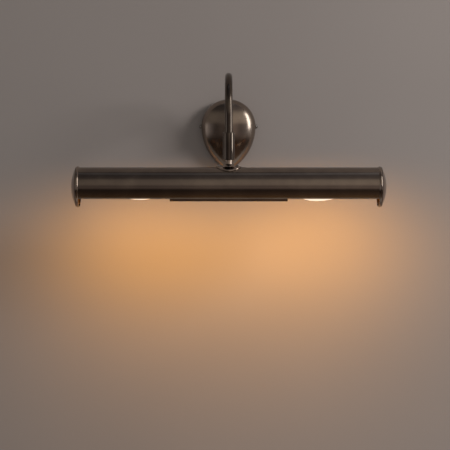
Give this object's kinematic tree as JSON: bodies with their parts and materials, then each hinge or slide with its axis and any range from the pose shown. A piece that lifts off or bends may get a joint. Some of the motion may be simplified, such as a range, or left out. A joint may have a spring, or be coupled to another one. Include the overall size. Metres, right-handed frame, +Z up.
{
  "type": "picture light",
  "caption": "Wall-mounted picture light: slotted tubular shade with small screw lamps, on a swan-neck arm with a swivelling and tilting knuckle and a domed backplate.",
  "frame": {"origin": "middle of the wall bracket's back face, against the wall, level with the cover's side screws", "axes": "+X along the shade, -Y out from the wall, +Z up; tilt at 0 and swivel straight ahead"},
  "size_m": [0.355, 0.1632, 0.156],
  "materials": {
    "bronze": "dark bronze plating, satin with polished edges",
    "zinc_steel": "zinc plated",
    "brass": "plain turned brass",
    "black_rubber": "moulded, matt",
    "white_plastic": "moulded",
    "cream_ceramic": "unglazed, fine",
    "lamp_metal": "rolled, bright",
    "opal_glass": "opal, satin",
    "wire_plastic": "insulated core"
  },
  "bodies": {
    "wall_side": {"wall_bracket": "zinc_steel", "cable_bush": "black_rubber", "terminal_block": "white_plastic", "terminal_screws": "brass", "earth_screw": "brass", "supply_wires": "wire_plastic", "backplate_cover": "bronze", "cover_side_screws": "zinc_steel", "arm_boss": "brass", "arm_lock_washer": "zinc_steel", "arm_lock_nut": "zinc_steel", "swan_neck_arm": "bronze", "swivel_collar": "brass"},
    "knuckle": {"knuckle_sleeve": "bronze", "swivel_stop_screw": "zinc_steel", "tilt_pins": "zinc_steel"},
    "shade": {"neck_stem": "bronze", "saddle_plate": "bronze", "saddle_screws": "zinc_steel", "stem_nut": "brass", "shade_tube": "bronze", "end_cap_left": "bronze", "end_cap_right": "bronze", "lampholder_bracket": "zinc_steel", "lampholder_left": "cream_ceramic", "lampholder_right": "cream_ceramic", "lampholder_nipples": "brass", "lampholder_nuts": "brass", "lampholder_contacts": "brass", "lamp_cap_left": "lamp_metal", "lamp_cap_right": "lamp_metal", "lamp_glass_left": "opal_glass", "lamp_glass_right": "opal_glass", "centre_cover": "bronze", "centre_cover_screws": "zinc_steel", "shade_wires": "wire_plastic"}
  },
  "joints": [
    {"name": "shade_swivel", "type": "hinge", "parent": "wall_side", "child": "knuckle", "pos_m": [0, -0.14, -0.0246], "axis": [0, 0, 1], "range_deg": [-25, 25]},
    {"name": "shade_tilt", "type": "hinge", "parent": "knuckle", "child": "shade", "pos_m": [0, -0.14, -0.0383], "axis": [1, 0, 0], "range_deg": [0, 45]}
  ]
}
